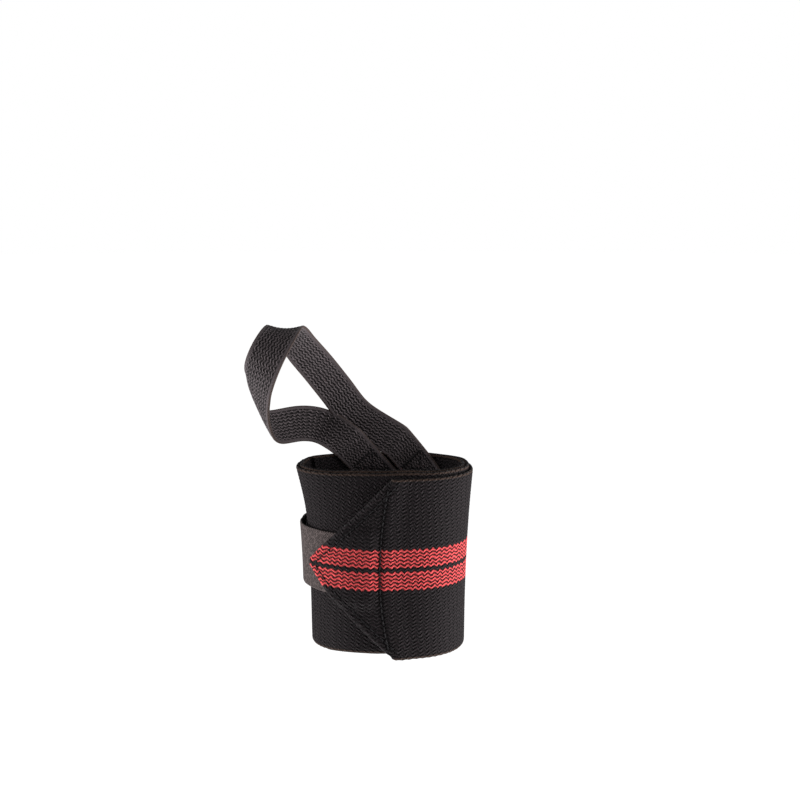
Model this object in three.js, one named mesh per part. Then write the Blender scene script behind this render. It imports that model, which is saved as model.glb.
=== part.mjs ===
// An elastic wrist wrap for weight training, wound and fastened as it is worn on a wrist.
// A knitted band starts against the wrist, winds outwards almost three times, and ends in a
// point whose corners are folded under. A hook tab sewn under the point runs on round the
// thumb side to a loop patch on the back, and a strap sewn inside the band loops the thumb.
// Lengths are in millimetres. +Z runs up the arm towards the fingers, -Y is the palm side
// and -X the thumb side. The origin is the middle of the wrist inside the band.

import * as THREE from "three";

// The wrist that the band is wound on
const wristWidth = 59.5;
const wristDepth = 42;
const wristSquareness = 2.4; // 2 is an ellipse, more is a rounder-cornered box

// The knitted band
const bandWidth = 76;
const bandThickness = 1.4;
const bandEdgeRound = 0.4;
const plyGap = 0.35; // the clearance between wound plies and between sewn pieces
const innerEndAngle = 160; // where the band starts, in degrees round from +X towards +Y
const woundAngle = 1034; // how far it winds from there, in degrees
const stepLength = 7; // the length over which a ply climbs the band's inner end
const tipLength = 37; // from the blunt end of the point to its shoulders
const tipBluntness = 1.5; // half the width of the blunt end of the point
const seamBow = 4.5; // how far the folded corners' edge bows towards the point

// The hook tab and the loop patch
const tabWidth = 26;
const tabThickness = 1.1;
const tabReach = 64; // past the point
const tabRoot = 26; // hidden under the point
const tabCornerRadius = 7;
const tabRaise = 0.4; // how far the tab is sewn above the middle of the point
const tabSlack = 0.5; // how far the tab stands off the band at the thumb side
const patchWidth = 25;
const patchLength = 76;
const patchThickness = 1.3;
const patchStart = 23; // past the point, where the thumb side hides it from the palm side

// The thumb strap
const strapWidth = 15.6;
const strapThickness = 1.2;
const strapEdgeRound = 0.35;
const strapSewnLength = 24; // how far each end runs down inside the band
const strapEndMargin = 4; // from the band's inner end to the first strap end
const strapEndSpacing = 1.5; // between the two sewn ends
const strapLean = 42; // how far the sewn ends lean towards the thumb, in degrees
const strapRimClearance = 5; // the strap keeps to the band this far past its rim
const loopRise = 57; // from the band's rim to the top of the thumb loop

// How finely the solids are divided
const stepAngle = 6;
const bandRows = 8;
const tabRows = 4;
const strapRows = 4;
const strapStep = 3.6;

// The wrist's half widths and half depths up the band, as shares of its width and depth.
// height is a share of the band's width, measured up from its middle.
const wristSections = [
  { height: -0.62, thumb: 0.492, little: 0.465, palm: 0.575, back: 0.54 },
  { height: -0.5, thumb: 0.5, little: 0.468, palm: 0.575, back: 0.54 },
  { height: -0.25, thumb: 0.506, little: 0.472, palm: 0.56, back: 0.53 },
  { height: 0.0, thumb: 0.515, little: 0.482, palm: 0.53, back: 0.515 },
  { height: 0.25, thumb: 0.54, little: 0.5, palm: 0.505, back: 0.5 },
  { height: 0.5, thumb: 0.61, little: 0.527, palm: 0.49, back: 0.495 },
  { height: 0.62, thumb: 0.655, little: 0.54, palm: 0.49, back: 0.495 },
];

// How high the band's centreline lies as it winds. turn counts turns from the inner end,
// and rise is a share of the band's width.
const windingPath = [
  { turn: 0.0, rise: 0.012 },
  { turn: 0.22, rise: 0.01 },
  { turn: 0.45, rise: 0.008 },
  { turn: 0.69, rise: 0.02 },
  { turn: 0.95, rise: 0.004 },
  { turn: 1.25, rise: 0.008 },
  { turn: 1.45, rise: 0.005 },
  { turn: 1.69, rise: 0.008 },
  { turn: 1.95, rise: -0.005 },
  { turn: 2.2, rise: -0.008 },
  { turn: 2.45, rise: -0.018 },
  { turn: 2.67, rise: -0.019 },
  { turn: 2.87, rise: -0.004 },
  { turn: 3.3, rise: 0.02 },
];

// The thumb strap's middle line past the band's rim. across is a share of the wrist's width
// from the middle, back a share of its depth, and up a share of the loop's rise. The strap's
// outer face looks along turn and tilt, in degrees. cup is how far its edges stand out past
// its middle, as a share of its width.
const strapRoute = [
  { across: -0.49, back: 0.49, up: 0.205, turn: 108, tilt: -2, cup: -0.03 },
  { across: -0.64, back: 0.42, up: 0.235, turn: 130, tilt: -10, cup: -0.05 },
  { across: -0.765, back: 0.31, up: 0.225, turn: 152, tilt: -20, cup: -0.06 },
  { across: -0.845, back: 0.18, up: 0.23, turn: 176, tilt: -28, cup: -0.06 },
  { across: -0.89, back: 0.04, up: 0.31, turn: 192, tilt: -18, cup: -0.06 },
  { across: -0.92, back: -0.09, up: 0.45, turn: 208, tilt: -14, cup: -0.06 },
  { across: -0.92, back: -0.2, up: 0.56, turn: 226, tilt: -8, cup: -0.06 },
  { across: -0.905, back: -0.33, up: 0.66, turn: 246, tilt: 0, cup: -0.05 },
  { across: -0.865, back: -0.37, up: 0.775, turn: 262, tilt: 12, cup: -0.02 },
  { across: -0.82, back: -0.33, up: 0.87, turn: 268, tilt: 28, cup: 0.02 },
  { across: -0.77, back: -0.22, up: 0.95, turn: 275, tilt: 52, cup: 0.07 },
  { across: -0.74, back: -0.06, up: 0.985, turn: 280, tilt: 78, cup: 0.11 },
  { across: -0.73, back: 0.09, up: 0.985, turn: 80, tilt: 84, cup: 0.11 },
  { across: -0.7, back: 0.24, up: 0.94, turn: 92, tilt: 55, cup: 0.07 },
  { across: -0.64, back: 0.37, up: 0.83, turn: 96, tilt: 22, cup: 0.02 },
  { across: -0.52, back: 0.465, up: 0.67, turn: 97, tilt: 8, cup: -0.01 },
  { across: -0.385, back: 0.505, up: 0.485, turn: 96, tilt: 4, cup: -0.02 },
  { across: -0.24, back: 0.52, up: 0.29, turn: 94, tilt: 2, cup: -0.02 },
];

const fullTurn = 360;
const plyPitch = bandThickness + plyGap;
const halfWidth = bandWidth / 2;

function radians(degrees) {
  return (degrees * Math.PI) / 180;
}

function smooth(share) {
  const t = Math.min(1, Math.max(0, share));
  return t * t * (3 - 2 * t);
}

function mix(a, b, share) {
  return a + (b - a) * share;
}

// A table's column at a place along it, on a smooth curve through the rows.
function columnAt(rows, place, at, column) {
  const last = rows.length - 1;
  const x = Math.min(rows[last][place], Math.max(rows[0][place], at));
  let i = 0;
  while (i < last - 1 && rows[i + 1][place] < x) i += 1;
  const slope = (j) => {
    const a = Math.max(0, j - 1);
    const b = Math.min(last, j + 1);
    return (rows[b][column] - rows[a][column]) / (rows[b][place] - rows[a][place]);
  };
  const span = rows[i + 1][place] - rows[i][place];
  const t = (x - rows[i][place]) / span;
  const t2 = t * t;
  const t3 = t2 * t;
  return (
    (2 * t3 - 3 * t2 + 1) * rows[i][column] +
    (t3 - 2 * t2 + t) * span * slope(i) +
    (3 * t2 - 2 * t3) * rows[i + 1][column] +
    (t3 - t2) * span * slope(i + 1)
  );
}

// The wrist's radius in one direction at one height.
function wristRadius(angle, z) {
  const height = z / bandWidth;
  const c = Math.cos(radians(angle));
  const s = Math.sin(radians(angle));
  const side = columnAt(wristSections, "height", height, c < 0 ? "thumb" : "little");
  const face = columnAt(wristSections, "height", height, s < 0 ? "palm" : "back");
  const x = Math.abs(c) / (side * wristWidth);
  const y = Math.abs(s) / (face * wristDepth);
  return (x ** wristSquareness + y ** wristSquareness) ** (-1 / wristSquareness);
}

// The way out of the wrist's surface, level with the ground.
function wristNormal(angle, z) {
  const turn = 0.5;
  const slope =
    (wristRadius(angle + turn, z) - wristRadius(angle - turn, z)) / radians(2 * turn);
  const radius = wristRadius(angle, z);
  const c = Math.cos(radians(angle));
  const s = Math.sin(radians(angle));
  return new THREE.Vector3(radius * c + slope * s, radius * s - slope * c, 0).normalize();
}

// A point standing off the wrist by an offset.
function wristPoint(angle, z, offset) {
  const radius = wristRadius(angle, z);
  const foot = new THREE.Vector3(
    radius * Math.cos(radians(angle)),
    radius * Math.sin(radians(angle)),
    z,
  );
  return foot.addScaledVector(wristNormal(angle, z), offset);
}

function riseAt(wound) {
  return bandWidth * columnAt(windingPath, "turn", wound / fullTurn, "rise");
}

// Lengths along the band from its inner end, at one degree of winding each.
const woundLengths = [0];
for (let wound = 1; wound <= woundAngle + fullTurn; wound += 1) {
  const middle = (wound / fullTurn) * plyPitch + bandThickness / 2;
  const from = wristPoint(innerEndAngle - wound + 1, 0, middle);
  const to = wristPoint(innerEndAngle - wound, 0, middle);
  woundLengths.push(woundLengths[wound - 1] + from.distanceTo(to));
}

function lengthAt(wound) {
  const i = Math.min(woundLengths.length - 2, Math.max(0, Math.floor(wound)));
  return mix(woundLengths[i], woundLengths[i + 1], wound - i);
}

function woundAt(length) {
  let i = 0;
  while (i < woundLengths.length - 2 && woundLengths[i + 1] < length) i += 1;
  return i + (length - woundLengths[i]) / (woundLengths[i + 1] - woundLengths[i]);
}

const bandLength = lengthAt(woundAngle);
const stepTurn = fullTurn - woundAt(lengthAt(fullTurn) - stepLength);

// How far a ply's inner face stands off the wrist. Each ply climbs the band's inner end.
function plyOffset(wound) {
  const turns = Math.floor(wound / fullTurn);
  const left = fullTurn - (wound - turns * fullTurn);
  return plyPitch * (turns + smooth(1 - left / stepTurn));
}

// How far a place on the band is from its point.
function beforeTip(wound) {
  return bandLength - lengthAt(wound);
}

// The tab lifts the band's point off the ply below.
function tabLift(wound, z) {
  const fade = 6;
  const aside = Math.abs(z - riseAt(wound) - tabRaise) - tabWidth / 2;
  const behind = beforeTip(wound) - tabRoot;
  return (tabThickness + plyGap) * smooth(1 - aside / fade) * smooth(1 - behind / fade);
}

// The corners folded under the point make it two plies thick, up to a bowed edge.
function cornerThickness(wound, z) {
  const fade = 4;
  const across = Math.min(1, Math.abs(z - riseAt(wound)) / halfWidth);
  const edge = tipLength - seamBow * (1 - across * across);
  return bandThickness * smooth((edge - beforeTip(wound)) / fade + 1);
}

// A closed solid through rings of points. Each ring has an outer and an inner row of the
// same count, and a point on each rim between them.
function stripSolid(rings) {
  const rows = rings[0].outer.length;
  const loops = rings.map((r) => [...r.outer, r.highRim, ...[...r.inner].reverse(), r.lowRim]);
  const count = loops[0].length;
  const points = loops.flat();
  const faces = [];
  for (let k = 0; k < loops.length - 1; k += 1) {
    for (let i = 0; i < count; i += 1) {
      const a = k * count + i;
      const b = k * count + ((i + 1) % count);
      faces.push(a, b, b + count, a, b + count, a + count);
    }
  }
  const cap = (start, flip) => {
    const outer = (i) => start + i;
    const inner = (i) => start + 2 * rows - i;
    const corners = [];
    for (let i = 0; i < rows - 1; i += 1) {
      corners.push([outer(i), inner(i), inner(i + 1)], [outer(i), inner(i + 1), outer(i + 1)]);
    }
    corners.push([outer(rows - 1), inner(rows - 1), start + rows]);
    corners.push([outer(0), start + 2 * rows + 1, inner(0)]);
    corners.forEach(([a, b, c]) => faces.push(...(flip ? [a, c, b] : [a, b, c])));
  };
  cap(0, false);
  cap((loops.length - 1) * count, true);
  const geometry = new THREE.BufferGeometry();
  geometry.setAttribute(
    "position",
    new THREE.Float32BufferAttribute(
      points.flatMap((p) => [p.x, p.y, p.z]),
      3,
    ),
  );
  geometry.setIndex(faces);
  geometry.computeVertexNormals();
  return geometry;
}

// One ring of a strip that lies round the wrist: from low to high z at one wound angle.
function wristRing({ wound, middle, half, round, rows, inside, thickness }) {
  const angle = innerEndAngle - wound;
  const soft = Math.min(round, half * 0.6);
  const heights = Array.from({ length: rows + 1 }, (_, i) =>
    mix(middle - half + soft, middle + half - soft, i / rows),
  );
  const rim = (z) => wristPoint(angle, z, inside(z) + thickness(z) / 2);
  return {
    outer: heights.map((z) => wristPoint(angle, z, inside(z) + thickness(z))),
    inner: heights.map((z) => wristPoint(angle, z, inside(z))),
    highRim: rim(middle + half),
    lowRim: rim(middle - half),
  };
}

// The wound angles between two, at whole steps so that plies share their facets.
function woundSteps(from, to, step = stepAngle) {
  const least = step / 4;
  const steps = [from];
  for (let w = Math.ceil((from + least) / step) * step; w < to - least; w += step) {
    steps.push(w);
  }
  return [...steps, to];
}

function bandGeometry() {
  const shoulder = woundAt(bandLength - tipLength);
  const stations = [
    ...woundSteps(0, shoulder),
    ...woundSteps(shoulder, woundAngle, stepAngle / 2).slice(1),
  ];
  return stripSolid(
    stations.map((wound) =>
      wristRing({
        wound,
        middle: riseAt(wound),
        half: Math.min(halfWidth, mix(tipBluntness, halfWidth, beforeTip(wound) / tipLength)),
        round: bandEdgeRound,
        rows: bandRows,
        inside: (z) => plyOffset(wound) + tabLift(wound, z),
        thickness: (z) => bandThickness + cornerThickness(wound, z),
      }),
    ),
  );
}

// Where the outer face is of the ply that the tab and the patch lie on.
function plyBelowTab(wound) {
  return plyOffset(wound - fullTurn) + bandThickness;
}

const patchFrom = woundAt(bandLength + patchStart);
const patchTo = woundAt(bandLength + patchStart + patchLength);

function patchGeometry() {
  return stripSolid(
    woundSteps(patchFrom, patchTo).map((wound) =>
      wristRing({
        wound,
        middle: riseAt(woundAngle) + tabRaise,
        half: patchWidth / 2,
        round: bandEdgeRound,
        rows: tabRows,
        inside: () => plyBelowTab(wound) + plyGap,
        thickness: () => patchThickness,
      }),
    ),
  );
}

// The tab climbs from the band onto the patch, with some slack on the thumb side.
function tabInside(wound) {
  const past = lengthAt(wound) - bandLength;
  const climb = smooth(past / patchStart);
  const slack = tabSlack * smooth(past / (patchStart / 2)) * (1 - smooth(past / patchStart - 1));
  return plyBelowTab(wound) + plyGap + climb * (patchThickness + plyGap) + slack;
}

function tabGeometry() {
  const from = woundAt(bandLength - tabRoot);
  const to = woundAt(bandLength + tabReach);
  const roundFrom = woundAt(bandLength + tabReach - tabCornerRadius);
  const stations = [
    ...woundSteps(from, roundFrom),
    ...woundSteps(roundFrom, to, stepAngle / 4).slice(1),
  ];
  const halfAt = (wound) => {
    const into = Math.max(0, lengthAt(wound) - (bandLength + tabReach - tabCornerRadius));
    const drop = Math.sqrt(Math.max(0, tabCornerRadius ** 2 - into ** 2));
    return tabWidth / 2 - tabCornerRadius + drop;
  };
  return stripSolid(
    stations.map((wound) =>
      wristRing({
        wound,
        middle: riseAt(Math.min(wound, woundAngle)) + tabRaise,
        half: halfAt(wound),
        round: bandEdgeRound,
        rows: tabRows,
        inside: () => tabInside(wound),
        thickness: () => tabThickness,
      }),
    ),
  );
}

// A place on the band's inner face, where a strap end lies. along is the length from the
// band's inner end, and depth how far the place lies into the wrist.
function sewnPoint(along, z, depth) {
  return wristPoint(innerEndAngle - woundAt(along), z, -depth);
}

const strapShares = Array.from({ length: strapRows + 1 }, (_, i) => (2 * i) / strapRows - 1);
const rimHeight = halfWidth + riseAt(0);

// One ring of a sewn strap end, from its middle line's place on the band.
function sewnRing(topAlong, down) {
  const lean = radians(strapLean);
  const along = topAlong + down * Math.sin(lean);
  const z = rimHeight + strapRimClearance - down * Math.cos(lean);
  const flat = strapWidth / 2 - strapEdgeRound;
  const place = (aside, depth) =>
    sewnPoint(along + aside * Math.cos(lean), z + aside * Math.sin(lean), depth);
  const row = (depth) => strapShares.map((share) => place(share * flat, depth));
  return {
    outer: row(plyGap),
    inner: row(plyGap + strapThickness),
    highRim: place(strapWidth / 2, plyGap + strapThickness / 2),
    lowRim: place(-strapWidth / 2, plyGap + strapThickness / 2),
  };
}

function turnedRing({ outer, inner, highRim, lowRim }) {
  return {
    outer: [...outer].reverse(),
    inner: [...inner].reverse(),
    highRim: lowRim,
    lowRim: highRim,
  };
}

// The middle of a sewn ring, and the way its outer face looks.
function ringFrame(ring) {
  const mid = strapRows / 2;
  const middle = ring.outer[mid].clone().lerp(ring.inner[mid], 0.5);
  const facing = ring.outer[mid].clone().sub(ring.inner[mid]).normalize();
  const chord = ring.highRim.clone().add(ring.lowRim).multiplyScalar(0.5);
  const cup = chord.sub(middle).dot(facing) / strapWidth;
  return { middle, facing, cup };
}

function facingOf(row) {
  const level = Math.cos(radians(row.tilt));
  return new THREE.Vector3(
    level * Math.cos(radians(row.turn)),
    level * Math.sin(radians(row.turn)),
    Math.sin(radians(row.tilt)),
  );
}

// One ring of the free strap.
function freeRing({ middle, facing, cup }, tangent) {
  const face = facing.clone().addScaledVector(tangent, -facing.dot(tangent)).normalize();
  const side = new THREE.Vector3().crossVectors(tangent, face).normalize();
  const half = strapWidth / 2;
  const place = (aside, lift) =>
    middle
      .clone()
      .addScaledVector(side, aside)
      .addScaledVector(face, lift + cup * strapWidth * (aside / half) ** 2);
  const flat = half - strapEdgeRound;
  return {
    outer: strapShares.map((share) => place(share * flat, strapThickness / 2)),
    inner: strapShares.map((share) => place(share * flat, -strapThickness / 2)),
    highRim: place(half, 0),
    lowRim: place(-half, 0),
  };
}

function strapGeometry() {
  const lean = Math.cos(radians(strapLean));
  const firstTop = strapEndMargin + strapWidth / 2 / lean;
  const secondTop = firstTop + strapWidth / lean + strapEndSpacing;
  const count = Math.round(strapSewnLength / strapStep);
  const downs = Array.from({ length: count + 1 }, (_, i) => (strapSewnLength * i) / count);
  // The first end is walked upwards, so its two sides change places.
  const first = downs.map((down) => turnedRing(sewnRing(firstTop, down))).reverse();
  const second = downs.map((down) => sewnRing(secondTop, down));

  const stations = [
    ringFrame(first[first.length - 2]),
    ringFrame(first[first.length - 1]),
    ...strapRoute.map((row) => ({
      middle: new THREE.Vector3(
        row.across * wristWidth,
        row.back * wristDepth,
        rimHeight + row.up * loopRise,
      ),
      facing: facingOf(row),
      cup: row.cup,
    })),
    ringFrame(second[0]),
    ringFrame(second[1]),
  ];
  const line = new THREE.CatmullRomCurve3(
    stations.map((s) => s.middle),
    false,
    "centripetal",
  );
  const spans = stations.length - 1;
  const lengths = stations.map((_, i) => i / spans);
  const frameAt = (t) => {
    const i = Math.min(spans - 1, Math.floor(t * spans));
    const share = smooth(t * spans - i);
    const facing = stations[i].facing.clone().lerp(stations[i + 1].facing, share);
    const cup = mix(stations[i].cup, stations[i + 1].cup, share);
    return { middle: line.getPoint(t), facing, cup };
  };
  const free = [];
  for (let i = 1; i < spans - 1; i += 1) {
    const gap = stations[i].middle.distanceTo(stations[i + 1].middle);
    const parts = Math.max(1, Math.round(gap / strapStep));
    for (let k = i === 1 ? 1 : 0; k < parts; k += 1) {
      const t = mix(lengths[i], lengths[i + 1], k / parts);
      free.push(freeRing(frameAt(t), line.getTangent(t)));
    }
  }
  return stripSolid([...first, ...free, ...second]);
}

function piece(name, geometry, color, roughness) {
  const material = new THREE.MeshStandardMaterial({ color, roughness, metalness: 0 });
  const mesh = new THREE.Mesh(geometry, material);
  mesh.name = name;
  return mesh;
}

const wrap = new THREE.Group();
wrap.add(piece("wrap_band", bandGeometry(), 0x1c1a1c, 0.85));
wrap.add(piece("hook_tab", tabGeometry(), 0x57524f, 0.6));
wrap.add(piece("loop_patch", patchGeometry(), 0x1a191a, 0.95));
wrap.add(piece("thumb_strap", strapGeometry(), 0x2b2829, 0.8));

export default wrap;
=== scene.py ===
"""An elastic wrist wrap for weight training, wound and fastened in its worn shape.

Each cloth piece is cut flat, at its real size, then wound or looped into its worn shape. A
piece's UV map holds its flat cut in metres, and the knit, the stripes and the weave follow it.
Shapes are worked out in millimetres, in the part's own frame.
"""

import math
from typing import NamedTuple

import bpy
import numpy as np
from bpy.props import FloatProperty, FloatVectorProperty, PointerProperty
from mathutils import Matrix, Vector


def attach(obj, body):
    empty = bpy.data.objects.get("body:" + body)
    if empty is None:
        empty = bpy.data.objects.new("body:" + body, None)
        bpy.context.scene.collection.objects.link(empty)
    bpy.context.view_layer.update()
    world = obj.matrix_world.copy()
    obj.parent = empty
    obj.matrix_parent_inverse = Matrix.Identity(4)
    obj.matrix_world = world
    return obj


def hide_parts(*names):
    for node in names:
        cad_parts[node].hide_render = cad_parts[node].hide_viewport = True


bl_info = {
    "name": "Wrist wrap",
    "version": (1, 0, 0),
    "blender": (4, 5, 0),
    "location": "3D View > Sidebar > Wrist wrap",
    "description": "Builds an elastic wrist wrap in the shape it has when worn",
    "category": "Object",
}

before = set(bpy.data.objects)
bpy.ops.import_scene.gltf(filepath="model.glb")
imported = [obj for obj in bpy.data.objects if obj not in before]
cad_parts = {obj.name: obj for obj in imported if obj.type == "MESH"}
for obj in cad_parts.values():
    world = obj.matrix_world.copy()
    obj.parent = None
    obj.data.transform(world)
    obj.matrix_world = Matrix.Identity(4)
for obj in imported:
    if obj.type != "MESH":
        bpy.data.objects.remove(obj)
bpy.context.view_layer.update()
MM = 0.001
FULL_TURN = 360.0


# Sizes and colours that a user would change


def length(name, description, value):
    return FloatProperty(
        name=name, description=description, default=value, min=0.0, unit="LENGTH", precision=5
    )


def tint(name, description, value):
    return FloatVectorProperty(
        name=name, description=description, default=value, subtype="COLOR", min=0.0, max=1.0
    )


class KnitSettings(bpy.types.PropertyGroup):
    """The band's knit and stripes."""

    rib_pitch: length("Rib pitch", "From one rib of the band to the next", 0.00155)
    wave_length: length("Wave length", "The length of one wave of a rib", 0.0028)
    wave_height: length("Wave height", "How far a rib swings to each side", 0.00038)
    rib_relief: length("Rib relief", "How far the ribs stand out", 0.00012)
    black_yarn: tint("Black yarn", "The band's ground colour", (0.0077, 0.0054, 0.0063))
    red_yarn: tint("Red yarn", "The colour of the stripes", (0.27, 0.026, 0.031))
    edge_yarn: tint("Edge yarn", "The thin line along the edges", (0.045, 0.028, 0.021))


class StrapSettings(bpy.types.PropertyGroup):
    """The thumb strap's knit."""

    rib_pitch: length("Rib pitch", "From one rib of the strap to the next", 0.00140)
    wave_length: length("Wave length", "The length of one wave of a rib", 0.0024)
    wave_height: length("Wave height", "How far a rib swings to each side", 0.00028)
    rib_relief: length("Rib relief", "How far the ribs stand out", 0.00012)
    grey_yarn: tint("Grey yarn", "The strap's ground colour", (0.0315, 0.026, 0.0275))
    edge_yarn: tint("Edge yarn", "The thin line along the edges", (0.040, 0.027, 0.022))


class FasteningSettings(bpy.types.PropertyGroup):
    """The hook tab, the loop patch and the thread."""

    stitch_length: length("Stitch length", "The length of one stitch", 0.0026)
    thread_width: length("Thread width", "The thickness of the sewing thread", 0.00055)
    hook_face: tint("Hook tape face", "The woven outer face of the hook tab", (0.045, 0.035, 0.034))
    hook_back: tint("Hook tape back", "The hooked inner face of the tab", (0.012, 0.011, 0.012))
    pile: tint("Loop pile", "The patch that the tab grips", (0.011, 0.010, 0.011))
    thread: tint("Thread", "The sewing thread", (0.009, 0.008, 0.009))


# The hollow that the band is wound round, as the part's own source has it


class WristSection(NamedTuple):
    """How far the hollow's sides reach at a height, as shares of its width and depth. The
    height is a share of the band's width."""

    height: float
    thumb: float
    little: float
    palm: float
    back: float


class WindingStop(NamedTuple):
    """How high the band's middle lies after some turns, as a share of its width."""

    turn: float
    rise: float


class StrapStop(NamedTuple):
    """A place on the strap's middle line, as shares of the hollow's width and depth and of the
    loop's rise, with the way that it faces in degrees and its cup as a share of its width."""

    across: float
    back: float
    up: float
    turn: float
    tilt: float
    cup: float


WRIST_WIDTH = 59.5
WRIST_DEPTH = 42.0
WRIST_SQUARENESS = 2.4
WRIST_SECTIONS = (
    WristSection(-0.62, 0.492, 0.465, 0.575, 0.54),
    WristSection(-0.5, 0.5, 0.468, 0.575, 0.54),
    WristSection(-0.25, 0.506, 0.472, 0.56, 0.53),
    WristSection(0.0, 0.515, 0.482, 0.53, 0.515),
    WristSection(0.25, 0.54, 0.5, 0.505, 0.5),
    WristSection(0.5, 0.61, 0.527, 0.49, 0.495),
    WristSection(0.62, 0.655, 0.54, 0.49, 0.495),
)

BAND_WIDTH = 76.0
BAND_THICKNESS = 1.4
PLY_GAP = 0.35
PLY_PITCH = BAND_THICKNESS + PLY_GAP
HALF_BAND = BAND_WIDTH / 2
INNER_END_ANGLE = 160.0
WOUND_ANGLE = 1034.0
STEP_LENGTH = 7.0
TIP_LENGTH = 37.0
TIP_BLUNTNESS = 1.5
SEAM_BOW = 4.5
WINDING_PATH = (
    WindingStop(0.0, 0.012),
    WindingStop(0.22, 0.01),
    WindingStop(0.45, 0.008),
    WindingStop(0.69, 0.02),
    WindingStop(0.95, 0.004),
    WindingStop(1.25, 0.008),
    WindingStop(1.45, 0.005),
    WindingStop(1.69, 0.008),
    WindingStop(1.95, -0.005),
    WindingStop(2.2, -0.008),
    WindingStop(2.45, -0.018),
    WindingStop(2.67, -0.019),
    WindingStop(2.87, -0.004),
    WindingStop(3.3, 0.02),
)

TAB_WIDTH = 26.0
TAB_THICKNESS = 1.1
TAB_REACH = 64.0
TAB_ROOT = 26.0
TAB_CORNER_RADIUS = 7.0
TAB_RAISE = 0.4
TAB_SLACK = 0.5
PATCH_WIDTH = 25.0
PATCH_LENGTH = 76.0
PATCH_THICKNESS = 1.3
PATCH_START = 23.0

STRAP_WIDTH = 15.6
STRAP_THICKNESS = 1.2
STRAP_SEWN_LENGTH = 24.0
STRAP_END_MARGIN = 4.0
STRAP_END_SPACING = 1.5
STRAP_LEAN = 42.0
STRAP_RIM_CLEARANCE = 5.0
LOOP_RISE = 57.0
STRAP_ROUTE = (
    StrapStop(-0.49, 0.49, 0.205, 108, -2, -0.03),
    StrapStop(-0.64, 0.42, 0.235, 130, -10, -0.05),
    StrapStop(-0.765, 0.31, 0.225, 152, -20, -0.06),
    StrapStop(-0.845, 0.18, 0.23, 176, -28, -0.06),
    StrapStop(-0.89, 0.04, 0.31, 192, -18, -0.06),
    StrapStop(-0.92, -0.09, 0.45, 208, -14, -0.06),
    StrapStop(-0.92, -0.2, 0.56, 226, -8, -0.06),
    StrapStop(-0.905, -0.33, 0.66, 246, 0, -0.05),
    StrapStop(-0.865, -0.37, 0.775, 262, 12, -0.02),
    StrapStop(-0.82, -0.33, 0.87, 268, 28, 0.02),
    StrapStop(-0.77, -0.22, 0.95, 275, 52, 0.07),
    StrapStop(-0.74, -0.06, 0.985, 280, 78, 0.11),
    StrapStop(-0.73, 0.09, 0.985, 80, 84, 0.11),
    StrapStop(-0.7, 0.24, 0.94, 92, 55, 0.07),
    StrapStop(-0.64, 0.37, 0.83, 96, 22, 0.02),
    StrapStop(-0.52, 0.465, 0.67, 97, 8, -0.01),
    StrapStop(-0.385, 0.505, 0.485, 96, 4, -0.02),
    StrapStop(-0.24, 0.52, 0.29, 94, 2, -0.02),
)


def smooth(share):
    t = np.clip(share, 0.0, 1.0)
    return t * t * (3 - 2 * t)


def column_at(rows, place, at, column):
    """A table's column at places along it, on a smooth curve through the rows."""
    x = np.array([getattr(row, place) for row in rows])
    y = np.array([getattr(row, column) for row in rows])
    before = np.maximum(np.arange(len(x)) - 1, 0)
    after = np.minimum(np.arange(len(x)) + 1, len(x) - 1)
    slope = (y[after] - y[before]) / (x[after] - x[before])
    at = np.clip(at, x[0], x[-1])
    i = np.clip(np.searchsorted(x, at) - 1, 0, len(x) - 2)
    span = x[i + 1] - x[i]
    t = (at - x[i]) / span
    return (
        (2 * t**3 - 3 * t**2 + 1) * y[i]
        + (t**3 - 2 * t**2 + t) * span * slope[i]
        + (3 * t**2 - 2 * t**3) * y[i + 1]
        + (t**3 - t**2) * span * slope[i + 1]
    )


def wrist_radius(angle, z):
    height = z / BAND_WIDTH
    c, s = np.cos(np.radians(angle)), np.sin(np.radians(angle))
    columns = {
        name: column_at(WRIST_SECTIONS, "height", height, name) for name in WristSection._fields[1:]
    }
    side = np.where(c < 0, columns["thumb"], columns["little"])
    face = np.where(s < 0, columns["palm"], columns["back"])
    x, y = np.abs(c) / (side * WRIST_WIDTH), np.abs(s) / (face * WRIST_DEPTH)
    return (x**WRIST_SQUARENESS + y**WRIST_SQUARENESS) ** (-1 / WRIST_SQUARENESS)


def wrist_point(angle, z, offset):
    """Points that stand off the hollow's side by an offset, level with the ground."""
    turn = 0.5
    radius = wrist_radius(angle, z)
    change = wrist_radius(angle + turn, z) - wrist_radius(angle - turn, z)
    slope = change / math.radians(2 * turn)
    c, s = np.cos(np.radians(angle)), np.sin(np.radians(angle))
    out_x, out_y = radius * c + slope * s, radius * s - slope * c
    size = np.hypot(out_x, out_y)
    x = radius * c + offset * out_x / size
    y = radius * s + offset * out_y / size
    return np.stack([x, y, np.broadcast_to(z, x.shape)], axis=-1)


def lengths_along(line):
    """Lengths along a line of points, from its first."""
    steps = np.linalg.norm(np.diff(line, axis=0), axis=1)
    return np.concatenate([[0.0], np.cumsum(steps)])


def sample(at, along, rows):
    """Each column of rows at places along them."""
    return [np.interp(at, along, column) for column in np.asarray(rows).T]


def wound_lengths():
    """Lengths along the band from its inner end, at each degree of winding."""
    wound = np.arange(1, WOUND_ANGLE + FULL_TURN + 1)
    middle = wound / FULL_TURN * PLY_PITCH + BAND_THICKNESS / 2
    level = np.zeros_like(wound)
    start = wrist_point(INNER_END_ANGLE - wound + 1, level, middle)
    end = wrist_point(INNER_END_ANGLE - wound, level, middle)
    steps = np.linalg.norm(end - start, axis=1)
    return np.concatenate([[0.0], np.cumsum(steps)])


LENGTHS = wound_lengths()
DEGREES = np.arange(len(LENGTHS), dtype=float)


def length_at(wound):
    return np.interp(wound, DEGREES, LENGTHS)


def wound_at(along):
    return np.interp(along, LENGTHS, DEGREES)


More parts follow.
